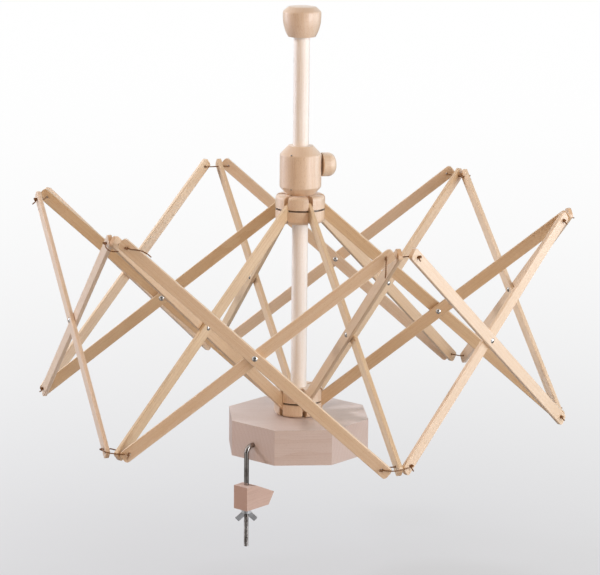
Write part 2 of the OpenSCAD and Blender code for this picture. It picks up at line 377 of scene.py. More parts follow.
    def _share(
        self, tree: bpy.types.NodeTree, value: bpy.types.NodeSocket, most: float
    ) -> bpy.types.NodeSocket:
        """Scales a share to its most."""
        return add_node(
            tree, "ShaderNodeMath", {0: value, 1: most}, operation="MULTIPLY", use_clamp=True
        ).outputs["Value"]

    def _mix(
        self, tree: bpy.types.NodeTree, ground: Any, other: Any, share: bpy.types.NodeSocket
    ) -> bpy.types.NodeSocket:
        """Mixes two colours by a share."""
        return add_node(
            tree, "ShaderNodeMix", {0: share, 6: ground, 7: other}, data_type="RGBA"
        ).outputs[2]


@dataclass(frozen=True)
class PlatedSteel:
    """Mild steel, drawn or pressed, then zinc plated.

    Gives the eye a grey mirror gone soft: fine draw lines along the piece, a faint mottle where
    the plating has dulled, and dark rims, which are a painted darkening of the reflection.
    """

    name: str
    bright: str
    dull: str
    roughness: float
    # Edge tint of the mirror: painted shade in the reflection at the rims
    rim: str = "#8C8886"
    # Draw lines are 0.05 mm apart; drawn 0.4 mm apart, so that they show
    line_mm: float = 0.4
    mottle_mm: float = 9.0

    def build(self) -> bpy.types.Material:
        """Builds the steel's material.

        Returns:
            The material, which reads the lay attribute.
        """
        material, tree = new_material(self.name)
        lay = add_node(tree, "ShaderNodeAttribute", attribute_name=LAY).outputs["Vector"]
        stretched = add_node(
            tree,
            "ShaderNodeMapping",
            {"Vector": lay, "Scale": (1 / 40, 1 / self.line_mm, 1 / self.line_mm)},
        )
        lines = add_node(
            tree,
            "ShaderNodeTexNoise",
            {"Vector": stretched.outputs["Vector"], "Scale": 1.0, "Detail": 3.0},
        ).outputs["Fac"]
        mottle = add_node(
            tree,
            "ShaderNodeTexNoise",
            {"Vector": lay, "Scale": 1 / self.mottle_mm, "Detail": 4.0},
        ).outputs["Fac"]
        dulling = add_node(
            tree,
            "ShaderNodeMapRange",
            {"Value": mottle, "From Min": 0.4, "From Max": 0.68},
            interpolation_type="SMOOTHSTEP",
        ).outputs["Result"]
        colour = add_node(
            tree,
            "ShaderNodeMix",
            {0: dulling, 6: linear(self.bright), 7: linear(self.dull)},
            data_type="RGBA",
        ).outputs[2]
        roughness = add_node(
            tree,
            "ShaderNodeMapRange",
            {"Value": mottle, "To Min": self.roughness - 0.05, "To Max": self.roughness + 0.1},
        ).outputs["Result"]
        relief = add_node(
            tree, "ShaderNodeBump", {"Strength": 0.6, "Distance": 0.01 * MM, "Height": lines}
        ).outputs["Normal"]
        surface = add_node(
            tree,
            "ShaderNodeBsdfPrincipled",
            {
                "Base Color": colour,
                "Metallic": 1.0,
                "Roughness": roughness,
                # The rim colour darkens the mirror at grazing angles: a painted dark reflection
                "Specular Tint": linear(self.rim),
                "Normal": relief,
            },
        )
        add_node(tree, "ShaderNodeOutputMaterial", {"Surface": surface.outputs["BSDF"]})
        return material


@dataclass(frozen=True)
class WaxedTwine:
    """Two-ply linen twine, twisted and waxed.

    Gives the eye a dark brown cord with paler hairs along its plies, painted shade in the grooves
    between them and a painted highlight on their crowns.
    """

    name: str
    deep: str
    painted_crown_highlight: str
    hair: str
    roughness: float = 0.5
    # Hairs are 0.02 mm thick; drawn 0.15 mm thick, so that they show
    hair_mm: float = 0.15

    def build(self) -> bpy.types.Material:
        """Builds the twine's material.

        Returns:
            The material, which reads the lay attribute: along, round, and height of the ply.
        """
        material, tree = new_material(self.name)
        lay = add_node(tree, "ShaderNodeAttribute", attribute_name=LAY).outputs["Vector"]
        parts = add_node(tree, "ShaderNodeSeparateXYZ", {"Vector": lay})
        stretched = add_node(
            tree,
            "ShaderNodeMapping",
            {"Vector": lay, "Scale": (1 / 2.5, 1 / self.hair_mm, 0.0)},
        )
        hairs = add_node(
            tree,
            "ShaderNodeTexNoise",
            {"Vector": stretched.outputs["Vector"], "Scale": 1.0, "Detail": 2.0},
        ).outputs["Fac"]
        # Painted shade in the grooves between the plies and a painted highlight on their crowns, by ply
        # height
        colour = add_node(
            tree,
            "ShaderNodeMix",
            {0: parts.outputs["Z"], 6: linear(self.deep), 7: linear(self.painted_crown_highlight)},
            data_type="RGBA",
        ).outputs[2]
        hair_share = add_node(
            tree,
            "ShaderNodeMapRange",
            {"Value": hairs, "From Min": 0.5, "From Max": 0.75, "To Max": 0.6},
        ).outputs["Result"]
        colour = add_node(
            tree,
            "ShaderNodeMix",
            {0: hair_share, 6: colour, 7: linear(self.hair)},
            data_type="RGBA",
        ).outputs[2]
        relief = add_node(
            tree, "ShaderNodeBump", {"Strength": 0.8, "Distance": 0.06 * MM, "Height": hairs}
        ).outputs["Normal"]
        surface = add_node(
            tree,
            "ShaderNodeBsdfPrincipled",
            {
                "Base Color": colour,
                "Roughness": self.roughness,
                "Normal": relief,
                "Sheen Weight": 0.15,
                "Sheen Roughness": 0.4,
                "IOR": 1.45,
            },
        )
        add_node(tree, "ShaderNodeOutputMaterial", {"Surface": surface.outputs["BSDF"]})
        return material


TURNED_BEECH = SandedTimber(
    name="turned_waxed_beech",
    ground="#EAD5BB",
    rosy="#E3CAB1",
    band="#DDBE99",
    fibre="#CDA37C",
    fleck="#AD7F53",
    end="#D9BB9A",
)
BOARD_BEECH = SandedTimber(
    name="planed_beech_board",
    ground="#D9C8BE",
    rosy="#D1BDB2",
    band="#C9B0A1",
    fibre="#BA9B8A",
    fleck="#9C7D6B",
    end="#C6AA99",
    fleck_share=0.22,
    wax=0.7,
)
# A darker copy of the board's rosy beech; the darkening is painted shade, as under a table
BLOCK_BEECH_PAINTED_SHADE = SandedTimber(
    name="sawn_rosy_beech_painted_shade",
    ground="#D2B6A6",
    rosy="#CBAC9B",
    band="#C29F8B",
    fibre="#B48C75",
    fleck="#956E56",
    end="#B58F7A",
    fleck_share=0.22,
    wax=0.5,
)
# Nearly white: partly the post's own pale wood, partly painted light
POST_BEECH_PAINTED_LIGHT = SandedTimber(
    name="drawn_white_beech",
    ground="#F8F2EA",
    rosy="#F5EEE5",
    band="#F2E7DA",
    fibre="#EAD9C7",
    fleck="#D6BCA0",
    end="#E3C8A8",
    fleck_share=0.2,
    wax=0.4,
)
SLAT_BEECH = SandedTimber(
    name="planed_pale_beech",
    ground="#EED8BA",
    rosy="#E5CBB0",
    band="#DFC097",
    fibre="#D4AC7E",
    fleck="#C19A6E",
    end="#D2AC80",
)
# Tanner than the slats' beech: partly the ribs' own honey tone, partly painted shade such as a skein of
# yarn would cast inside the cage
RIB_BEECH_PAINTED_SHADE = SandedTimber(
    name="planed_honey_beech",
    ground="#E0C6A0",
    rosy="#D7B893",
    band="#CDA878",
    fibre="#C29666",
    fleck="#B38656",
    end="#C89C6C",
)
DRAWN_STEEL = PlatedSteel(
    name="drawn_zinc_plated_steel", bright="#A59E98", dull="#78716B", roughness=0.13
)
PRESSED_STEEL = PlatedSteel(
    name="pressed_nickel_plated_steel", bright="#DAD6D0", dull="#B4AFA9", roughness=0.16
)
# Its rim tint is a painted darkening of the reflection
CAST_STEEL = PlatedSteel(
    name="cast_zinc_plated_steel", bright="#F4F3F2", dull="#DCDAD8", roughness=0.46, rim="#B4B1AE"
)
# Its darkest and lightest browns are painted shade in the grooves and a painted highlight on the crowns
LINEN_TWINE = WaxedTwine(
    name="waxed_linen_twine", deep="#54351C", painted_crown_highlight="#96683C", hair="#C29A68"
)


class Slot(Enum):
    """The record's material slots."""

    BEECH = "beech"
    PALE_BEECH = "pale_beech"
    STEEL = "steel"
    CORD = "waxed_cord"


class Workshop:
    """Builds each finish once and hands it out."""

    def __init__(self) -> None:
        """Starts with no finish built."""
        self._built: dict[str, bpy.types.Material] = {}

    def material(self, finish: SandedTimber | PlatedSteel | WaxedTwine) -> bpy.types.Material:
        """Gives a finish's material, building it the first time.

        Args:
            finish: The finish.

        Returns:
            Its material.
        """
        if finish.name not in self._built:
            self._built[finish.name] = finish.build()
        return self._built[finish.name]


def long_axis(points: np.ndarray) -> tuple[np.ndarray, np.ndarray]:
    """Finds the direction in which a stick is longest.

    Args:
        points: The stick's points.

    Returns:
        Three unit vectors as rows, the longest direction first, and the stick's middle.
    """
    middle = (points.min(axis=0) + points.max(axis=0)) / 2
    _, _, axes = np.linalg.svd(points - points.mean(axis=0), full_matrices=False)
    return axes, middle


def axes_along(direction: tuple[float, float, float]) -> np.ndarray:
    """Makes three unit vectors as rows, the first along a direction.

    Args:
        direction: The direction of the fibres.

    Returns:
        The vectors.
    """
    first = np.array(direction, float)
    first /= np.linalg.norm(first)
    helper = np.array([0.0, 0.0, 1.0]) if abs(first[2]) < 0.9 else np.array([1.0, 0.0, 0.0])
    second = np.cross(helper, first)
    second /= np.linalg.norm(second)
    return np.array([first, second, np.cross(first, second)])


def mark_stick(
    piece: bpy.types.Object,
    seed: int,
    direction: tuple[float, float, float] | None = None,
    pith_mm: tuple[float, float] = (60.0, 25.0),
) -> None:
    """Writes the lay, cut and rose attributes on a piece of timber or wire.

    Args:
        piece: The piece, whose points stay where they are.
        seed: Picks the place in the tree that this stick was cut from.
        direction: The direction of its fibres; left out, its longest direction.
        pith_mm: How far the tree's middle lies from the stick, twice across the fibres.
    """
    mesh = piece.data
    points = np.zeros(len(mesh.vertices) * 3)
    mesh.vertices.foreach_get("co", points)
    points = points.reshape(-1, 3)
    if direction is None:
        axes, middle = long_axis(points)
    else:
        axes, middle = axes_along(direction), (points.min(axis=0) + points.max(axis=0)) / 2
    draw = random.Random(seed)
    turn = draw.uniform(0, 2 * math.pi)
    reach = math.hypot(*pith_mm) * draw.uniform(0.7, 1.5)
    start = np.array(
        [draw.uniform(-4000, 4000), reach * math.cos(turn), reach * math.sin(turn)]
    )
    write_lay(mesh, (points - middle) @ axes.T / MM + start)
    cut = mesh.attributes.get(CUT) or mesh.attributes.new(CUT, "FLOAT", "FACE")
    normals = np.zeros(len(mesh.polygons) * 3)
    mesh.polygons.foreach_get("normal", normals)
    across = np.abs(normals.reshape(-1, 3) @ axes[0])
    cut.data.foreach_set("value", np.clip((across - 0.55) / 0.4, 0, 1).astype(np.float32))
    rose = mesh.attributes.get(ROSE) or mesh.attributes.new(ROSE, "FLOAT", "FACE")
    rose.data.foreach_set("value", np.full(len(mesh.polygons), draw.random(), np.float32))


# ---------------------------------------------------------------------------------------------
# Sweeps


def carried_frames(path: np.ndarray) -> tuple[np.ndarray, np.ndarray, np.ndarray]:
    """Carries two unit vectors along a path with no twist.

    Args:
        path: The points of the path.

    Returns:
        The tangents, and the two vectors across them, at each point.
    """
    tangents = np.gradient(path, axis=0)
    tangents /= np.linalg.norm(tangents, axis=1)[:, None]
    helper = np.array([0.0, 0.0, 1.0]) if abs(tangents[0][2]) < 0.8 else np.array([1.0, 0, 0])
    across = helper - tangents[0] * (helper @ tangents[0])
    firsts = [across / np.linalg.norm(across)]
    for tangent in tangents[1:]:
        across = firsts[-1] - tangent * (firsts[-1] @ tangent)
        firsts.append(across / np.linalg.norm(across))
    first = np.array(firsts)
    return tangents, first, np.cross(tangents, first)


def evenly(path: np.ndarray, spacing: float) -> np.ndarray:
    """Puts points along a path at even distances.

    Args:
        path: The points of the path.
        spacing: The distance between new points.

    Returns:
        The new points.
    """
    run = np.concatenate([[0], np.cumsum(np.linalg.norm(np.diff(path, axis=0), axis=1))])
    marks = np.linspace(0, run[-1], max(4, round(run[-1] / spacing)) + 1)
    return np.array([np.interp(marks, run, path[:, k]) for k in range(3)]).T


def skin(rings: int, sides: int) -> list[tuple[int, ...]]:
    """Lists the faces of a tube with a cap at each end.

    Args:
        rings: How many rings of points it has.
        sides: How many points a ring has.

    Returns:
        The faces.
    """
    faces: list[tuple[int, ...]] = [tuple(reversed(range(sides)))]
    for k in range(rings - 1):
        for j in range(sides):
            a, b = k * sides + j, k * sides + (j + 1) % sides
            faces.append((a, b, b + sides, a + sides))
    faces.append(tuple((rings - 1) * sides + j for j in range(sides)))
    return faces


@dataclass(frozen=True)
class TwistedCord:
    """Two plies laid round each other, as one tube with a two-lobed section."""

    diameter: float = 1.8 * MM
    # Length of one full turn of the plies
    pitch: float = 4.4 * MM
    sides: int = 12
    # How deep the groove between the plies is, as a share of the radius
    groove: float = 0.2
    # Share of the full thickness that is left where the cord is pulled tight
    tight: float = 0.92

    def tube(self, path: np.ndarray) -> tuple[np.ndarray, list[tuple[int, ...]], np.ndarray]:
        """Sweeps the cord along a path.

        Args:
            path: Evenly spaced points.

        Returns:
            The points, the faces, and the place of each point in the cord, in millimetres.
        """
        _, first, second = carried_frames(path)
        step = float(np.linalg.norm(np.diff(path, axis=0), axis=1).mean())
        count = len(path)
        rings, places = [], []
        for k in range(count):
            lead = 2 * math.pi * k * step / self.pitch
            end = max(0.0, 1 - min(k, count - 1 - k) * step / (0.5 * self.diameter))
            taper = math.sqrt(max(0.05, 1 - end * end)) * self.tight
            for j in range(self.sides):
                angle = 2 * math.pi * j / self.sides
                lobe = 0.5 + 0.5 * math.cos(2 * (angle - lead))
                r = self.diameter / 2 * (1 - self.groove * (1 - lobe)) * taper
                rings.append(
                    path[k] + first[k] * r * math.cos(angle) + second[k] * r * math.sin(angle)
                )
                places.append((k * step / MM, self.diameter / 2 * (angle - lead) / MM, lobe))
        return np.array(rings), skin(count, self.sides), np.array(places)


def domed_head(
    place: np.ndarray, normal: np.ndarray, radius: float, dome: float, sides: int = 20
) -> tuple[np.ndarray, list[tuple[int, ...]]]:
    """Turns the domed head of a pin, with a short shank under it.

    Args:
        place: The middle of its seat.
        normal: The direction in which it faces.
        radius: Its radius.
        dome: How high its middle stands.
        sides: How many points a ring has.

    Returns:
        Its points and faces.
    """
    _, first, second = (row for row in axes_along(tuple(normal)))
    profile = [(0.75, -2.0), (0.75, -0.1), (1.0, 0.0), (0.96, 0.3), (0.8, 0.66), (0.5, 0.9)]
    points = []
    for share, height in profile:
        for k in range(sides):
            angle = 2 * math.pi * k / sides
            spread = first * math.cos(angle) + second * math.sin(angle)
            points.append(place + spread * radius * share + normal * dome * height)
    return np.array(points), skin(len(profile), sides)


# ---------------------------------------------------------------------------------------------
# Sub-assemblies


@dataclass
class Stand:
    """The base, the post in it and the knob on the post."""

    workshop: Workshop

    def build(self, nodes: dict[str, bpy.types.Object]) -> list[str]:
        """Dresses the three pieces, with the base's fibres level and the others upright.

        Args:
            nodes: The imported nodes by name.

        Returns:
            The names of the pieces that were dressed.
        """
        dress(nodes["base"], self.workshop.material(BOARD_BEECH))
        mark_stick(nodes["base"], 11, (1.0, 0.0, 0.0), pith_mm=(90.0, 50.0))
        # The post's nearly white beech is partly painted light
        dress(nodes["centre_post"], self.workshop.material(POST_BEECH_PAINTED_LIGHT))
        mark_stick(nodes["centre_post"], 12)
        dress(nodes["top_knob"], self.workshop.material(TURNED_BEECH))
        mark_stick(nodes["top_knob"], 13, (0.0, 0.0, 1.0), pith_mm=(20.0, 12.0))
        return ["base", "centre_post", "top_knob"]


@dataclass
class TableClamp:
    """The bent rod with its thread, the block that grips the table and the wing nut."""

    workshop: Workshop
    azimuth: float = 225.0
    # Base, holes and rod as in the part's source
    base_reach: float = 86 * MM
    hole_height: float = 20 * MM
    rod_radius: float = 3 * MM
    stand_off: float = 12 * MM
    bend: float = 9 * MM
    inside: float = 38 * MM
    drop: float = 109 * MM
    # The thread is an M6: drawn at 1.25 mm instead of 1 mm, so that it shows from 3 m
    pitch: float = 1.25 * MM
    thread_depth: float = 0.55 * MM
    thread_top: float = -30 * MM
    sides: int = 24
    steps_per_turn: int = 6

    def build(self, nodes: dict[str, bpy.types.Object]) -> list[str]:
        """Sweeps the threaded rod in place of the plain one and dresses the other two.

        Args:
            nodes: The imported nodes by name.

        Returns:
            The names of the pieces.
        """
        rod = self._rod()
        dress(rod, self.workshop.material(DRAWN_STEEL))
        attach(rod, "clamp_rod")
        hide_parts("clamp_rod")
        towards_post = math.radians(self.azimuth + 180)
        # The block's darker beech is painted shade
        dress(nodes["clamp_block"], self.workshop.material(BLOCK_BEECH_PAINTED_SHADE))
        mark_stick(
            nodes["clamp_block"],
            21,
            (math.cos(towards_post), math.sin(towards_post), 0.0),
            pith_mm=(35.0, 30.0),
        )
        dress(nodes["wing_nut"], self.workshop.material(CAST_STEEL))
        mark_stick(nodes["wing_nut"], 22)
        return [rod.name, "clamp_block", "wing_nut"]

    def _rod(self) -> bpy.types.Object:
        """Sweeps the rod out of the base, round its bend and down its thread.

        Returns:
            The rod's object.
        """
        reach = self.base_reach + self.stand_off
        level = [(self.base_reach - self.inside, self.hole_height)]
        level += [(reach - self.bend, self.hole_height)]
        arc = [
            (
                reach - self.bend + self.bend * math.sin(math.radians(a)),
                self.hole_height - self.bend + self.bend * math.cos(math.radians(a)),
            )
            for a in range(6, 91, 6)
        ]
        rise = self.pitch / self.steps_per_turn
        turns = int((self.thread_top + self.drop) / rise)
        thread = [(reach, self.thread_top - k * rise) for k in range(turns + 1)]
        thread[-1] = (reach, -self.drop)
        path = level + arc + thread
        out = np.array(
            [math.cos(math.radians(self.azimuth)), math.sin(math.radians(self.azimuth)), 0.0]
        )
        up = np.array([0.0, 0.0, 1.0])
        side = np.cross(out, up)
        points, places, run = [], [], 0.0
        for k, (x, z) in enumerate(path):
            before, after = path[max(0, k - 1)], path[min(len(path) - 1, k + 1)]
            tangent = out * (after[0] - before[0]) + up * (after[1] - before[1])
            tangent /= np.linalg.norm(tangent)
            across = np.cross(side, tangent)
            if k:
                run += math.hypot(x - path[k - 1][0], z - path[k - 1][1])
            for j in range(self.sides):
                angle = 2 * math.pi * j / self.sides
                r = self.rod_radius - self._thread_cut(z, angle)
                r -= self._chamfer(k, len(path), z)
                points.append(
                    out * x + up * z + side * r * math.cos(angle) + across * r * math.sin(angle)
                )
                places.append(
                    (run / MM, r * math.cos(angle) / MM, r * math.sin(angle) / MM)
                )
        rod = mesh_piece("threaded_clamp_rod", np.array(points), skin(len(path), self.sides))
        write_lay(rod.data, np.array(places))
        return rod

    def _thread_cut(self, z: float, angle: float) -> float:
        """Gives how deep the thread is cut at a height and an angle round the rod."""
        if z > self.thread_top - self.pitch:
            return 0.0
        turn = (z / self.pitch - angle / (2 * math.pi)) % 1.0
        return self.thread_depth * (1 - abs(2 * turn - 1))

    def _chamfer(self, k: int, count: int, z: float) -> float:
        """Gives how much the rod's last millimetre is taken down at its ends."""
        if k == 0:
            return 0.6 * MM
        return max(0.0, 0.8 * MM - (z + self.drop)) if k > count / 2 else 0.0


@dataclass
class Hub:
    """A turned hub with its slots and the wire ring in its groove."""

    workshop: Workshop
    name: str
    seed: int
    # Height of the ring, and where its twisted ends stand out of the groove
    ring_height: float
    twists: tuple[float, ...] = ()
    twist_cord: TwistedCord = TwistedCord(
        diameter=1.9 * MM, pitch=2.4 * MM, sides=12, groove=0.45, tight=1.0
    )

    def build(self, nodes: dict[str, bpy.types.Object]) -> list[str]:
        """Dresses the hub, with upright fibres, and its ring.

        Args:
            nodes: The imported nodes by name.

        Returns:
            The names of the pieces that were dressed.
        """
        ring = f"{self.name}_wire"
        dress(nodes[self.name], self.workshop.material(TURNED_BEECH))
        mark_stick(nodes[self.name], self.seed, (0.0, 0.0, 1.0), pith_mm=(24.0, 16.0))
        dress(nodes[ring], self.workshop.material(DRAWN_STEEL))
        mark_stick(nodes[ring], self.seed + 1)
        done = [self.name, ring]
        for k, azimuth in enumerate(self.twists, start=1):
            twist = self._twist(f"{self.name}_wire_twist_{k}", math.radians(azimuth))
            dress(twist, self.workshop.material(DRAWN_STEEL))
            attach(twist, self.name)
            done.append(twist.name)
        return done

    def _twist(self, name: str, azimuth: float) -> bpy.types.Object:
        """Twists the ring's two ends together and lays them back along the groove.

        Args:
            name: The piece's name.
            azimuth: Where it stands, in radians.

        Returns:
            The piece.
        """
        out = np.array([math.cos(azimuth), math.sin(azimuth), 0.0])
        along = np.array([-out[1], out[0], 0.0])
        height = np.array([0.0, 0.0, self.ring_height])
        corners = [out * 28.2, out * 31.0 + along * 0.4, out * 31.3 + along * 4.5]
        path = np.array([corner * MM + height for corner in corners])
        path = evenly(path, 0.3 * MM)
        for _ in range(6):
            path[1:-1] = (path[:-2] + 2 * path[1:-1] + path[2:]) / 4
        points, faces, places = self.twist_cord.tube(path)
        twist = mesh_piece(name, points, faces)
        write_lay(twist.data, places)
        return twist


@dataclass
class LockingCollar:
    """The sliding collar, the wooden screw in its side and the two pins in its chamfers."""

    workshop: Workshop
    thumb_azimuth: float = 10.0
    foot_height: float = 327.5 * MM
    pin_azimuth: float = 238.6
    pin_reach: float = 25.15 * MM
    # Each pin's height above the collar's foot, and the slope of its chamfer above level
    pins: tuple[tuple[float, float], ...] = ((51.4 * MM, 45.0), (8.3 * MM, -40.7))
    pin_radius: float = 1.1 * MM
    pin_dome: float = 0.45 * MM

    def build(self, nodes: dict[str, bpy.types.Object]) -> list[str]:
        """Dresses the collar with upright fibres and the screw with fibres along its shank.

        Args:
            nodes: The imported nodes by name.

        Returns:
            The names of the pieces that were dressed.
        """
        timber = self.workshop.material(TURNED_BEECH)
        dress(nodes["locking_collar"], timber)
        mark_stick(nodes["locking_collar"], 41, (0.0, 0.0, 1.0), pith_mm=(26.0, 10.0))
        turn = math.radians(self.thumb_azimuth)
        dress(nodes["thumb_screw"], timber)
        mark_stick(
            nodes["thumb_screw"], 42, (math.cos(turn), math.sin(turn), 0.0), pith_mm=(14.0, 9.0)
        )
        pins = self._pins()
        dress(pins, self.workshop.material(DRAWN_STEEL))
        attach(pins, "locking_collar")
        return ["locking_collar", "thumb_screw", pins.name]

    def _pins(self) -> bpy.types.Object:
        """Makes the domed heads of the two pins, seated in the chamfers.

        Returns:
            The heads as one object.
        """
        turn = math.radians(self.pin_azimuth)
        out = np.array([math.cos(turn), math.sin(turn), 0.0])
        up = np.array([0.0, 0.0, 1.0])
        points, faces = [], []
        for height, slope in self.pins:
            tilt = math.radians(slope)
            path = out * self.pin_reach + up * (self.foot_height + height)
            normal = out * math.cos(tilt) + up * math.sin(tilt)
            head, skins = domed_head(path, normal, self.pin_radius, self.pin_dome)
            faces += [tuple(j + len(points) for j in face) for face in skins]
            points += list(head)
        pins = mesh_piece("collar_pins", np.array(points), faces)
        write_lay(pins.data, np.array(points) / MM)
        return pins


@dataclass
class SlatCage:
    """The crossed ribs, the crossed outer slats and the rivets where they cross."""

    workshop: Workshop
    spokes: int = 6
    slats: tuple[tuple[str, SandedTimber], ...] = (
        # The ribs' tanner beech is partly painted shade
        ("rising_rib", RIB_BEECH_PAINTED_SHADE),
        ("falling_rib", RIB_BEECH_PAINTED_SHADE),
        ("outer_slat", SLAT_BEECH),
        ("inner_slat", SLAT_BEECH),
    )
    rivets: tuple[str, ...] = ("rib_rivet", "slat_rivet")

    def build(self, nodes: dict[str, bpy.types.Object]) -> list[str]:
        """Dresses each slat with fibres along its length, and each rivet.

        Args:
            nodes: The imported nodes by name.

        Returns:
            The names of the pieces that were dressed.
        """
        done = []
        for row, (kind, finish) in enumerate(self.slats):
            for n in range(1, self.spokes + 1):
                name = f"{kind}_{n}"
                dress(nodes[name], self.workshop.material(finish))
                mark_stick(nodes[name], 100 + 10 * row + n, pith_mm=(70.0, 30.0))
                done.append(name)
        for row, kind in enumerate(self.rivets):
            for n in range(1, self.spokes + 1):
                name = f"{kind}_{n}"
                dress(nodes[name], self.workshop.material(PRESSED_STEEL))
                mark_stick(nodes[name], 200 + 10 * row + n)
                done.append(name)
        return done


class Half(Enum):
    """Upper and lower tips, with the sign of up for each."""

    TOP = 1
    BOTTOM = -1


class KnotAt(Enum):
    """The slat that a knot bears on, with the sign of its side of the tip."""

    INNER_SLAT = -1
    OUTER_SLAT = 1


@dataclass(frozen=True)
class Tail:
    """The loose end of a cord, in millimetres outwards, counterclockwise and up from its knot."""

    reach: tuple[float, float, float]
    # How far its middle bows off the straight line
    bow: tuple[float, float, float] = (0.0, 0.0, 0.0)


@dataclass
class TipTies:
    """The waxed cords that join a rib and two slats at each tip, with their knots and tails."""

    workshop: Workshop
    cord: TwistedCord = field(default_factory=TwistedCord)
    spokes: int = 6
    swift_turn: float = -14.2
    # Sizes of the part's source, in millimetres
    ring_r: float = 27.0
    slat_pitch: float = 388.0
    slat_t: float = 5.0
    slat_gap: float = 0.3
    outer_offset: float = 11.2
    rest_angle: float = 39.5
    z_low: float = 62.9
    tie_bend: float = 3.2
    # Size of an overhand knot pulled tight: a third of its radius
    knot_size: float = 0.64
    # Half the opening between the knot's two ends, in radians
    knot_gap: float = 0.42
    spacing: float = 0.42
    # The ends that were left long; the others are stubs
    long_tails: dict[tuple[Half, int, KnotAt], Tail] = field(
        default_factory=lambda: {
            (Half.TOP, 5, KnotAt.OUTER_SLAT): Tail((-13.5, 27.0, -9.0), (4.0, 2.0, 9.0)),
            (Half.TOP, 5, KnotAt.INNER_SLAT): Tail((5.5, 28.0, -5.0), (11.5, 0.0, -4.0)),
            (Half.TOP, 6, KnotAt.INNER_SLAT): Tail((1.0, -1.0, -23.0), (2.5, 0.0, -1.0)),
            (Half.BOTTOM, 5, KnotAt.OUTER_SLAT): Tail((-2.0, 36.0, 0.0), (5.0, 0.0, -1.0)),
            (Half.BOTTOM, 6, KnotAt.OUTER_SLAT): Tail((-1.0, 35.0, 0.0), (5.0, 0.0, -2.0)),
        }
    )

    def build(self, nodes: dict[str, bpy.types.Object]) -> list[str]:
        """Ties every tip in place of its plain cord.

        Args:
            nodes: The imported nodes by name.

        Returns:
            The names of the ties.
        """
        material = self.workshop.material(LINEN_TWINE)
        done = []
        for half in Half:
            for n in range(1, self.spokes + 1):
                node = f"{half.name.lower()}_tie_{n}"
                tie = self._tie(f"{half.name.lower()}_cord_{n}", half, n)
                dress(tie, material)
                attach(tie, node)
                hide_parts(node)
                done.append(tie.name)
        return done

    def _tie(self, name: str, half: Half, n: int) -> bpy.types.Object:
        """Makes one tie: a cord through three holes, with a knot and a tail at each end.

        Args:
            name: The piece's name.
            half: Whether it is an upper or a lower tip.
            n: The number of its spoke.

        Returns:
            The tie's object, in the row frame.
        """
        inner, outer = (self._end(at, half, n) for at in KnotAt)
        route = evenly(np.vstack([inner[::-1], self._inside(), outer]), self.spacing)
        for _ in range(2):
            route[1:-1] = (route[:-2] + 2 * route[1:-1] + route[2:]) / 4
        points, faces, places = self.cord.tube(route * MM)
        tie = mesh_piece(name, self._placed(points, half, n), faces)
        write_lay(tie.data, places + np.array([97.0 * n + 700.0 * half.value, 0, 0]))
        return tie

    def _placed(self, points: np.ndarray, half: Half, n: int) -> np.ndarray:
        """Moves points from a tip's own frame to the row frame.

        Args:
            points: Points with x outwards, y counterclockwise and z up, from the tip.
            half: Whether it is an upper or a lower tip.
            n: The number of its spoke.

        Returns:
            The points in the row frame.
        """
        slope = math.radians(self.rest_angle)
        tip_r = self.ring_r + self.slat_pitch * math.cos(slope)
        height = self.z_low + (self.slat_pitch * math.sin(slope) if half is Half.TOP else 0.0)
        # A lower tip is the upper one turned over about its spoke
        local = points * np.array([1.0, half.value, half.value])
        local = local + np.array([tip_r, 0.0, height]) * MM
        turn = math.radians(self.swift_turn + 360 / self.spokes * (n - 1))
        cos, sin = math.cos(turn), math.sin(turn)
        return local @ np.array([[cos, sin, 0.0], [-sin, cos, 0.0], [0.0, 0.0, 1.0]])

    def _half_step(self) -> float:
        """Gives half the angle between two spokes, in radians."""
        return math.pi / self.spokes

    def _side(self) -> float:
        """Gives how far a rib or a slat lies from the plane between the two of its pair."""
        return (self.slat_t + self.slat_gap) / 2

    def _on_hole_line(self, sign: int, k: float) -> np.ndarray:
        """Gives a point on the line of a slat's hole.

        Args:
            sign: Which side of the tip the slat lies on.
            k: The distance outwards along the hole.

        Returns:
            The point in the tip's frame.
        """
        cos, sin = math.cos(self._half_step()), math.sin(self._half_step())
        shift = self.ring_r / 2
        return np.array([k * cos - shift * sin, sign * (k * sin + shift * cos), 0.0])

    def _face(self, at: KnotAt) -> float:
        """Gives how far out along its hole a slat's outer face lies."""
        return self.outer_offset + at.value * self._side() + self.slat_t / 2

    def _inside(self) -> np.ndarray:
        """Traces the cord from one slat's hole through the rib's hole to the other slat's.

        Returns:
            Its points in the tip's frame, in millimetres.
        """
        shift = self.ring_r / 2
        k_rib = shift * math.tan(self._half_step())
        k_inner = self.outer_offset - self._side() - self.slat_t / 2 - 1.9
        corners = [
            self._on_hole_line(-1, self._face(KnotAt.INNER_SLAT) - 1.2),
            self._on_hole_line(-1, k_inner),
            np.array([0.0, -self._side() - self.slat_t / 2 - 1.8, 0.0]),
            np.array([0.0, self._on_hole_line(1, k_rib)[1], 0.0]),
            self._on_hole_line(1, self._face(KnotAt.OUTER_SLAT) - 1.2),
        ]
        return rounded_line(corners, [1.6, 2.0, self.tie_bend])

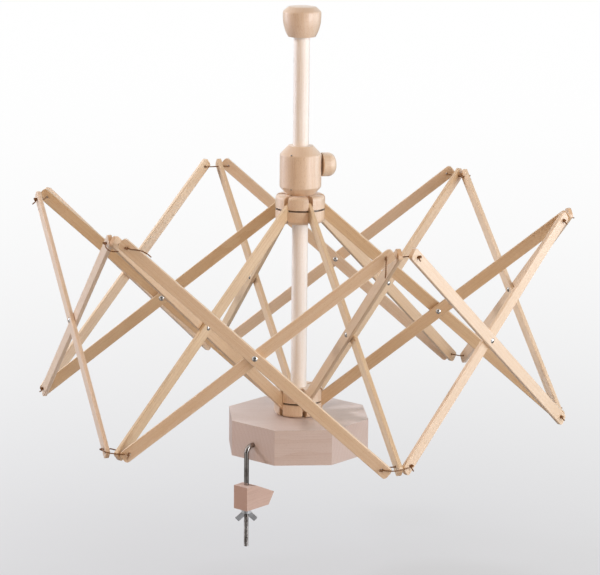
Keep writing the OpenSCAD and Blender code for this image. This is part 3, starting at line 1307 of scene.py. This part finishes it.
    def _end(self, at: KnotAt, half: Half, n: int) -> np.ndarray:
        """Traces a cord's end outwards from a slat: an overhand knot, then the tail.

        Args:
            at: The slat that the knot bears on.
            half: Whether it is an upper or a lower tip.
            n: The number of its spoke.

        Returns:
            Its points in the tip's frame, in millimetres, from the slat's hole outwards.
        """
        tail = self.long_tails.get((half, n, at)) or self._stub(at, half, n)
        flip = np.array([1.0, half.value, half.value])
        reach, bow = np.array(tail.reach) * flip, np.array(tail.bow) * flip
        out = self._on_hole_line(at.value, 1.0) - self._on_hole_line(at.value, 0.0)
        back = out * (reach @ out) - reach
        back /= np.linalg.norm(back)
        size = self.knot_size
        centre = self._on_hole_line(at.value, self._face(at) + 3.5 * size) + back * size
        turns = np.linspace(math.pi + self.knot_gap, 3 * math.pi - self.knot_gap, 48)
        knot = centre + size * (
            np.outer(np.sin(turns) + 2 * np.sin(2 * turns), out)
            + np.outer(np.cos(turns) - 2 * np.cos(2 * turns), back)
            - np.outer(1.15 * np.sin(3 * turns), np.cross(out, back))
        )
        into = (knot[1] - knot[0]) / np.linalg.norm(knot[1] - knot[0])
        away = (knot[-1] - knot[-2]) / np.linalg.norm(knot[-1] - knot[-2])
        mouth = self._on_hole_line(at.value, self._face(at) - 0.9)
        lead = bend(mouth, mouth + 1.4 * out, knot[0] - 1.6 * into, knot[0])
        stop = centre + reach
        length = float(np.linalg.norm(reach))
        loose = bend(
            knot[-1],
            knot[-1] + away * 0.3 * length,
            knot[-1] + 0.6 * (stop - knot[-1]) + bow,
            stop,
        )
        return np.vstack([lead, knot[1:], loose[1:]])

    def _stub(self, at: KnotAt, half: Half, n: int) -> Tail:
        """Picks a short end that droops from its knot.

        Args:
            at: The slat that the knot bears on.
            half: Whether it is an upper or a lower tip.
            n: The number of its spoke.

        Returns:
            The tail.
        """
        draw = random.Random(17 * n + 5 * half.value + at.value)
        sideways = at.value * half.value * draw.uniform(-1.0, 3.5)
        return Tail((draw.uniform(2.0, 4.5), sideways, draw.uniform(-6.5, -4.0)))


def bend(start: np.ndarray, leave: np.ndarray, arrive: np.ndarray, stop: np.ndarray) -> np.ndarray:
    """Traces a cubic curve.

    Args:
        start: Its start.
        leave: The point that it heads for at first.
        arrive: The point that it comes from at last.
        stop: Its end.

    Returns:
        Points along it.
    """
    u = np.linspace(0, 1, 20)[:, None]
    v = 1 - u
    return v**3 * start + 3 * v * v * u * leave + 3 * v * u * u * arrive + u**3 * stop


def rounded_line(corners: list[np.ndarray], radii: list[float]) -> np.ndarray:
    """Rounds the inner corners of a flat line.

    Args:
        corners: The line's corners in order.
        radii: The radius at each corner but the first and the last.

    Returns:
        The points of the rounded line.
    """
    points = [corners[0]]
    for k, radius in enumerate(radii, start=1):
        into = corners[k] - corners[k - 1]
        out = corners[k + 1] - corners[k]
        into, out = into / np.linalg.norm(into), out / np.linalg.norm(out)
        turn = math.acos(float(np.clip(into @ out, -1, 1)))
        cut = radius * math.tan(turn / 2)
        start = corners[k] - into * cut
        inward = (out - into * math.cos(turn)) / math.sin(turn)
        for step in range(9):
            angle = turn * step / 8
            points.append(
                start + radius * (into * math.sin(angle) + inward * (1 - math.cos(angle)))
            )
    return np.array([*points, corners[-1]])


# ---------------------------------------------------------------------------------------------
# Studio


@dataclass(frozen=True)
class StudioPaper:
    """Matt seamless paper, glowing grey near the swift as painted shade and white far behind it.

    Gives the eye a plain ground that keeps a soft shadow.
    """

    name: str = "matt_studio_paper"
    # The glow's colours: grey near the swift as painted shade, white far off
    near_painted_shade: str = "#C8C8CA"
    far: str = "#FFFFFF"
    # Middle of the painted shade in the glow, in front of the swift as the camera sees it
    middle: tuple[float, float, float] = (-0.035, -0.449, -0.16)
    # Directions of painted pools of light that gloss and metal see in the paper, and how bright
    # the paper looks to them elsewhere, a painted shade in the reflection
    painted_pools: tuple[tuple[float, float, float], ...] = ((0.454, -0.891, 0.0), (-0.940, -0.342, 0.0))
    beside_pools: float = 0.18
    # Colour of the part that takes light and shadow
    sheet: str = "#C4C4C6"
    # Distances from the swift over which the painted grey and the shadows fade
    fade: float = 1.03
    shadow_fade: float = 0.9
    # Share of the paper under the swift that takes light and shadow
    lit_share: float = 0.3

    def build(self) -> bpy.types.Material:
        """Builds the paper's material.

        Returns:
            The material, shaded by the distance from the swift.
        """
        material, tree = new_material(self.name)
        place = add_node(tree, "ShaderNodeNewGeometry").outputs["Position"]
        distance = add_node(
            tree, "ShaderNodeVectorMath", {0: place}, operation="LENGTH"
        ).outputs["Value"]
        reach = add_node(
            tree, "ShaderNodeVectorMath", {0: place, 1: self.middle}, operation="DISTANCE"
        ).outputs["Value"]
        # Painted shade: the glow is grey round the middle and white far off
        colour = add_node(
            tree,
            "ShaderNodeMix",
            {
                0: self._faded(tree, reach, self.fade),
                6: linear(self.far),
                7: linear(self.near_painted_shade),
            },
            data_type="RGBA",
        ).outputs[2]
        grit = add_node(
            tree, "ShaderNodeTexNoise", {"Vector": place, "Scale": 900.0, "Detail": 2.0}
        ).outputs["Fac"]
        relief = add_node(
            tree, "ShaderNodeBump", {"Strength": 0.1, "Distance": 0.1 * MM, "Height": grit}
        ).outputs["Normal"]
        matt = add_node(
            tree, "ShaderNodeBsdfDiffuse", {"Color": linear(self.sheet), "Normal": relief}
        ).outputs["BSDF"]
        rays = add_node(tree, "ShaderNodeLightPath")
        glow = add_node(
            tree,
            "ShaderNodeEmission",
            {"Color": colour, "Strength": self._mirrored(tree, place, rays)},
        ).outputs["Emission"]
        seen = add_node(
            tree,
            "ShaderNodeMath",
            {0: rays.outputs["Is Camera Ray"], 1: rays.outputs["Is Glossy Ray"]},
            operation="MAXIMUM",
        ).outputs["Value"]
        seen = add_node(
            tree,
            "ShaderNodeMath",
            {0: seen, 1: rays.outputs["Is Transmission Ray"]},
            operation="MAXIMUM",
        ).outputs["Value"]
        lit = add_node(
            tree,
            "ShaderNodeMath",
            {0: self._faded(tree, distance, self.shadow_fade), 1: self.lit_share},
            operation="MULTIPLY",
        ).outputs["Value"]
        unlit = add_node(tree, "ShaderNodeMath", {0: 1.0, 1: lit}, operation="SUBTRACT")
        own = add_node(
            tree,
            "ShaderNodeMath",
            {0: seen, 1: unlit.outputs["Value"]},
            operation="MULTIPLY",
        ).outputs["Value"]
        surface = add_node(tree, "ShaderNodeMixShader", {0: own, 1: matt, 2: glow})
        add_node(tree, "ShaderNodeOutputMaterial", {"Surface": surface.outputs["Shader"]})
        return material

    def _mirrored(
        self, tree: bpy.types.NodeTree, place: bpy.types.NodeSocket, rays: bpy.types.Node
    ) -> bpy.types.NodeSocket:
        """Gives the paper's strength: 1, less for gloss looking beside the painted pools of light.

        Args:
            tree: The material's tree.
            place: The place on the paper.
            rays: The light path node.

        Returns:
            The strength.
        """
        # Painted reflection: gloss sees the paper glow fully only towards the pools
        towards = add_node(
            tree, "ShaderNodeVectorMath", {0: place}, operation="NORMALIZE"
        ).outputs["Vector"]
        first, second = (
            add_node(
                tree, "ShaderNodeVectorMath", {0: towards, 1: pool}, operation="DOT_PRODUCT"
            ).outputs["Value"]
            for pool in self.painted_pools
        )
        facing = add_node(
            tree, "ShaderNodeMath", {0: first, 1: second}, operation="MAXIMUM"
        ).outputs["Value"]
        beside = add_node(
            tree,
            "ShaderNodeMapRange",
            {"Value": facing, "From Min": 0.98, "From Max": 0.86},
            interpolation_type="SMOOTHSTEP",
        ).outputs["Result"]
        share = add_node(
            tree,
            "ShaderNodeMath",
            {0: beside, 1: rays.outputs["Is Glossy Ray"]},
            operation="MULTIPLY",
        ).outputs["Value"]
        return add_node(
            tree,
            "ShaderNodeMapRange",
            {"Value": share, "To Min": 1.0, "To Max": self.beside_pools},
        ).outputs["Result"]

    def _faded(
        self, tree: bpy.types.NodeTree, distance: bpy.types.NodeSocket, fade: float
    ) -> bpy.types.NodeSocket:
        """Gives a share that falls from 1 at the swift by a factor of e over each fade.

        Args:
            tree: The material's tree.
            distance: The distance from the swift, in metres.
            fade: The distance for a factor of e.

        Returns:
            The share.
        """
        run = add_node(
            tree, "ShaderNodeMath", {0: distance, 1: -1 / fade}, operation="MULTIPLY"
        ).outputs["Value"]
        return add_node(tree, "ShaderNodeMath", {0: run}, operation="EXPONENT").outputs["Value"]


@dataclass(frozen=True)
class Lamp:
    """One soft box: where it stands, what it faces, its size, power and colour."""

    name: str
    place: tuple[float, float, float]
    size: float
    watts: float
    colour: str = "#FFFFFF"
    # Height of a tall one; 0 for a round one
    tall: float = 0.0
    # Whether gloss and metal mirror it; a flagged lamp gives light and shadow alone
    mirrored: bool = True


@dataclass
class Studio:
    """The camera of the photograph, the paper, the soft boxes and the room's light."""

    aim: tuple[float, float, float] = (0.00076, -0.00006, 0.2076)
    azimuth: float = 265.54
    elevation: float = 12.13
    roll: float = 0.57
    distance: float = 3.2527
    lens_mm: float = 155.19
    sensor_mm: float = 36.0
    floor_height: float = -0.16
    floor_radius: float = 12.0
    # Light of the room's walls, and what gloss and metal mirror of its side behind the camera
    room_strength: float = 0.12
    dark_side_mirrored: float = 0.1
    lamps: tuple[Lamp, ...] = (
        Lamp("warm_wall_front", (-0.28, -3.59, 1.84), 8.0, 88.0, "#FFCB90", 4.0, mirrored=False),
        Lamp("window_right", (1.6, -1.34, 0.72), 0.9, 30.0, "#EDF5FF", tall=1.6),
        Lamp("window_right_back", (2.19, 0.19, 0.55), 0.9, 13.0, "#EDF5FF", tall=1.4),
        Lamp("window_left_back", (-2.04, 0.82, 0.55), 0.7, 13.0, "#E8EEFF", tall=1.4),
        Lamp("soft_box_left_back", (-1.67, 0.78, 1.45), 0.45, 39.0, "#EEF2FF", mirrored=False),
    )

    def build(self) -> None:
        """Sets up everything that isn't part of the swift."""
        self._camera()
        self._floor()
        for lamp in self.lamps:
            self._lamp(lamp)
        self._room()
        bpy.context.scene.view_settings.view_transform = "Standard"

    def _camera(self) -> None:
        """Makes the camera from its place round the swift."""
        a, e, r = (math.radians(x) for x in (self.azimuth, self.elevation, self.roll))
        back = Vector((math.cos(a) * math.cos(e), math.sin(a) * math.cos(e), math.sin(e)))
        right = Vector((-math.sin(a), math.cos(a), 0.0))
        up = back.cross(right)
        rolled_right = right * math.cos(r) + up * math.sin(r)
        rolled_up = up * math.cos(r) - right * math.sin(r)
        data = bpy.data.cameras.new("photo_camera")
        data.lens, data.sensor_width, data.sensor_fit = self.lens_mm, self.sensor_mm, "HORIZONTAL"
        camera = bpy.data.objects.new("photo_camera", data)
        bpy.context.scene.collection.objects.link(camera)
        place = Vector(self.aim) + back * self.distance
        turned = Matrix((rolled_right, rolled_up, back)).transposed()
        camera.matrix_world = Matrix.Translation(place) @ turned.to_4x4()
        bpy.context.scene.camera = camera

    def _floor(self) -> None:
        """Lays a round sheet of paper below the swift."""
        count = 64
        rim = [
            (
                self.floor_radius * math.cos(2 * math.pi * k / count),
                self.floor_radius * math.sin(2 * math.pi * k / count),
                self.floor_height,
            )
            for k in range(count)
        ]
        floor = mesh_piece("paper_floor", np.array(rim), [tuple(range(count))])
        dress(floor, StudioPaper().build())

    def _lamp(self, lamp: Lamp) -> None:
        """Hangs one soft box, facing the swift.

        Args:
            lamp: The soft box.
        """
        data = bpy.data.lights.new(lamp.name, "AREA")
        data.shape, data.size, data.energy = "DISK", lamp.size, lamp.watts
        if lamp.tall:
            data.shape, data.size_y = "RECTANGLE", lamp.tall
        data.color = linear(lamp.colour)[:3]
        light = bpy.data.objects.new(lamp.name, data)
        light.location = lamp.place
        light.visible_glossy = lamp.mirrored
        light.rotation_euler = (Vector(self.aim) - Vector(lamp.place)).to_track_quat("-Z", "Y").to_euler()
        bpy.context.scene.collection.objects.link(light)

    def _room(self) -> None:
        """Fills the room with light and shows it white to the camera.

        Gloss and metal mirror the walls as white as the camera sees them, but for the dark side
        behind the camera.
        """
        world = bpy.data.worlds.new("white_room")
        world.use_nodes = True
        tree = world.node_tree
        tree.nodes.clear()
        rays = add_node(tree, "ShaderNodeLightPath")
        seen = add_node(
            tree,
            "ShaderNodeMath",
            {0: rays.outputs["Is Camera Ray"], 1: rays.outputs["Is Transmission Ray"]},
            operation="MAXIMUM",
        ).outputs["Value"]
        towards = math.radians(self.azimuth)
        facing = add_node(
            tree,
            "ShaderNodeVectorMath",
            {
                0: add_node(tree, "ShaderNodeTexCoord").outputs["Generated"],
                1: (math.cos(towards), math.sin(towards), 0.0),
            },
            operation="DOT_PRODUCT",
        ).outputs["Value"]
        dark = add_node(
            tree,
            "ShaderNodeMapRange",
            {"Value": facing, "From Min": 0.15, "From Max": 0.75},
            interpolation_type="SMOOTHSTEP",
        ).outputs["Result"]
        mirrored = add_node(
            tree,
            "ShaderNodeMapRange",
            {"Value": dark, "To Min": 1.0, "To Max": self.dark_side_mirrored},
        ).outputs["Result"]
        walls = add_node(
            tree,
            "ShaderNodeMapRange",
            {
                "Value": rays.outputs["Is Glossy Ray"],
                "To Min": self.room_strength,
                "To Max": mirrored,
            },
        ).outputs["Result"]
        strength = add_node(
            tree, "ShaderNodeMapRange", {"Value": seen, "To Min": walls, "To Max": 1.0}
        ).outputs["Result"]
        glow = add_node(
            tree, "ShaderNodeBackground", {"Color": linear("#FFFFFF"), "Strength": strength}
        )
        add_node(tree, "ShaderNodeOutputWorld", {"Surface": glow.outputs["Background"]})
        bpy.context.scene.world = world


def main() -> None:
    """Builds the studio and dresses each sub-assembly of the swift in order."""
    logging.basicConfig(level=logging.INFO, format="%(name)s: %(message)s")
    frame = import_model()
    Studio().build()
    workshop = Workshop()
    assemblies = [
        Stand(workshop),
        TableClamp(workshop),
        Hub(workshop, "lower_hub", 31, 62.9 * MM),
        Hub(workshop, "upper_hub", 35, 309.7 * MM, twists=(330.7, 191.0)),
        LockingCollar(workshop),
        SlatCage(workshop),
        TipTies(workshop),
    ]
    for assembly in assemblies:
        for name in assembly.build(frame["nodes"]):
            log.info("%s: %s", type(assembly).__name__, name)


if __name__ == "__main__":
    main()
